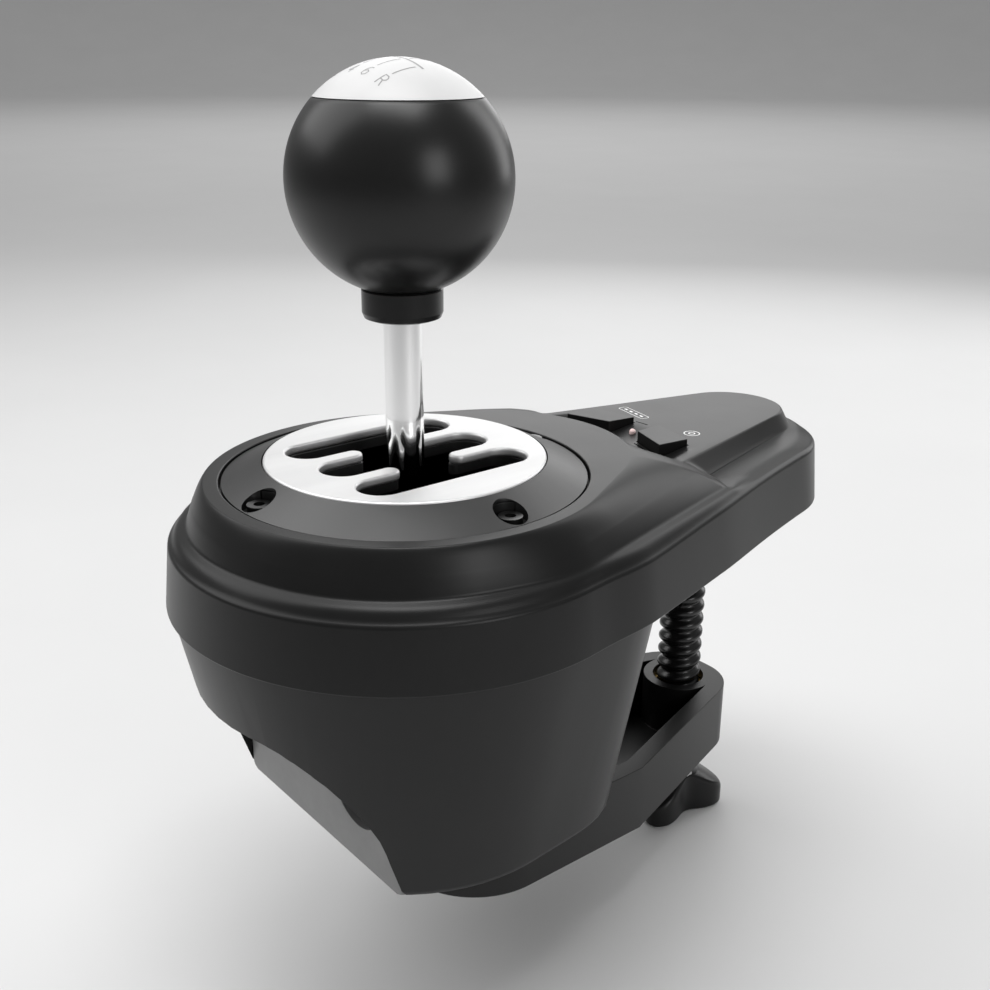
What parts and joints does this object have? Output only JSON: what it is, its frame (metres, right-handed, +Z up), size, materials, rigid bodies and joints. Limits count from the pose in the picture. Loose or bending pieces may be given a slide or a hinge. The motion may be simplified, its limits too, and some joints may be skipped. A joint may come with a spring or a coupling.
{
  "type": "sim racing gear shifter",
  "caption": "Desk-clamped H-pattern gear shifter: ball knob on a chrome lever, slotted gate plate, teardrop case with push buttons, screw clamp below.",
  "frame": {"origin": "on the clamp screw's axis, in the face that rests on the desk top (the rubber pad's lower face)", "axes": "+X to the driver's right, +Y from the lever over the desk, +Z up"},
  "size_m": [0.1256, 0.2151, 0.2483],
  "materials": {
    "case_black": "fine textured satin black plastic",
    "panel_black": "fine textured satin black plastic, flat",
    "bezel_black": "smooth satin black plastic",
    "plate_silver": "light satin anodised plate with polished slot edges",
    "guide_black": "matt black plastic",
    "screw_steel": "plain zinc plated steel",
    "screw_dark": "black oxide steel",
    "light_guide": "clear to pink translucent light guide",
    "button_black": "semi-gloss black plastic",
    "board_green": "green circuit board lacquer",
    "switch_black": "matt black plastic",
    "socket_steel": "plated sheet steel",
    "rubber_black": "matt black rubber",
    "arm_black": "fine textured satin black plastic",
    "insert_brass": "turned brass",
    "frame_steel": "folded and plated steel",
    "spring_steel": "drawn spring wire",
    "cradle_zinc": "die cast, bare",
    "pin_steel": "ground steel",
    "block_dark": "glass filled dark plastic",
    "rod_chrome": "polished",
    "magnet_nickel": "nickel plated magnet",
    "collar_black": "semi-gloss black plastic",
    "knob_black": "soft sheen black plastic",
    "cap_white": "white plastic disc with a thin grey shift pattern",
    "screw_black": "semi-gloss black plastic",
    "hand_knob_black": "semi-gloss black plastic"
  },
  "bodies": {
    "root": {"top_case": "case_black", "lower_case": "case_black", "tail_base": "case_black", "bottom_cover": "case_black", "front_panel": "panel_black", "gate_bezel": "bezel_black", "gate_plate": "plate_silver", "gate_guide": "guide_black", "bezel_screws": "screw_steel", "status_light": "light_guide", "main_board": "board_green", "sensor_board": "board_green", "button_switches": "switch_black", "board_screws": "screw_steel", "data_socket": "socket_steel", "tail_screws": "screw_dark", "desk_pad": "rubber_black", "case_screws": "screw_steel", "panel_screws": "screw_dark", "cover_screws": "screw_dark", "clamp_arm": "arm_black", "arm_screws": "screw_dark", "thread_insert": "insert_brass", "pivot_frame": "frame_steel", "centring_spring_left": "spring_steel", "centring_spring_right": "spring_steel"},
    "select": {"selector_cradle": "cradle_zinc", "cradle_pins": "pin_steel", "throw_pins": "pin_steel", "detent_spring": "spring_steel", "detent_cap": "pin_steel"},
    "throw": {"lever_block": "block_dark", "dust_shield": "guide_black", "push_spring": "spring_steel"},
    "push": {"lever_rod": "rod_chrome", "rod_clip": "screw_dark", "lever_magnet": "magnet_nickel", "knob_collar": "collar_black", "knob_insert": "insert_brass", "knob_body": "knob_black", "knob_cap": "cap_white"},
    "detent": {"detent_plunger": "pin_steel"},
    "left_button": {"button_left": "button_black"},
    "right_button": {"button_right": "button_black"},
    "clamp_slider": {"pressure_pad": "arm_black", "pad_rubber": "rubber_black"},
    "clamp_spindle": {"clamp_screw": "screw_black", "hand_knob": "hand_knob_black", "hand_knob_pin": "pin_steel"}
  },
  "joints": [
    {"name": "select_tilt", "type": "hinge", "parent": "root", "child": "select", "pos_m": [0, -0.11, -0.023], "axis": [0, 1, 0], "range_deg": [-16, 16], "stiffness_Nm_per_rad": 2, "deforming": ["centring_spring_left", "centring_spring_right"]},
    {"name": "throw_tilt", "type": "hinge", "parent": "select", "child": "throw", "pos_m": [0, -0.11, -0.023], "axis": [1, 0, 0], "range_deg": [-16.8, 16.8]},
    {"name": "push_down", "type": "slide", "parent": "throw", "child": "push", "axis": [0, 0, 1], "range_m": [-0.006, 0], "stiffness_N_per_m": 900, "springref_m": 0.005, "deforming": ["push_spring"]},
    {"name": "detent_slide", "type": "slide", "parent": "select", "child": "detent", "axis": [1, 0, 0], "range_m": [0, 0.0012], "stiffness_N_per_m": 400, "springref_m": -0.002},
    {"name": "left_press", "type": "slide", "parent": "root", "child": "left_button", "axis": [0, 0, 1], "range_m": [-0.001, 0], "stiffness_N_per_m": 600, "springref_m": 0.001},
    {"name": "right_press", "type": "slide", "parent": "root", "child": "right_button", "axis": [0, 0, 1], "range_m": [-0.001, 0], "stiffness_N_per_m": 600, "springref_m": 0.001},
    {"name": "clamp_travel", "type": "slide", "parent": "root", "child": "clamp_slider", "axis": [0, 0, 1], "range_m": [-0.0409, 0.0109]},
    {"name": "clamp_turn", "type": "hinge", "parent": "clamp_slider", "child": "clamp_spindle", "pos_m": [0, 0, -0.09], "axis": [0, 0, 1], "range_deg": [-3075, 825]}
  ],
  "couplings": [
    {"joint": "clamp_turn", "follows": "clamp_travel", "rad_per_m": 1309}
  ]
}
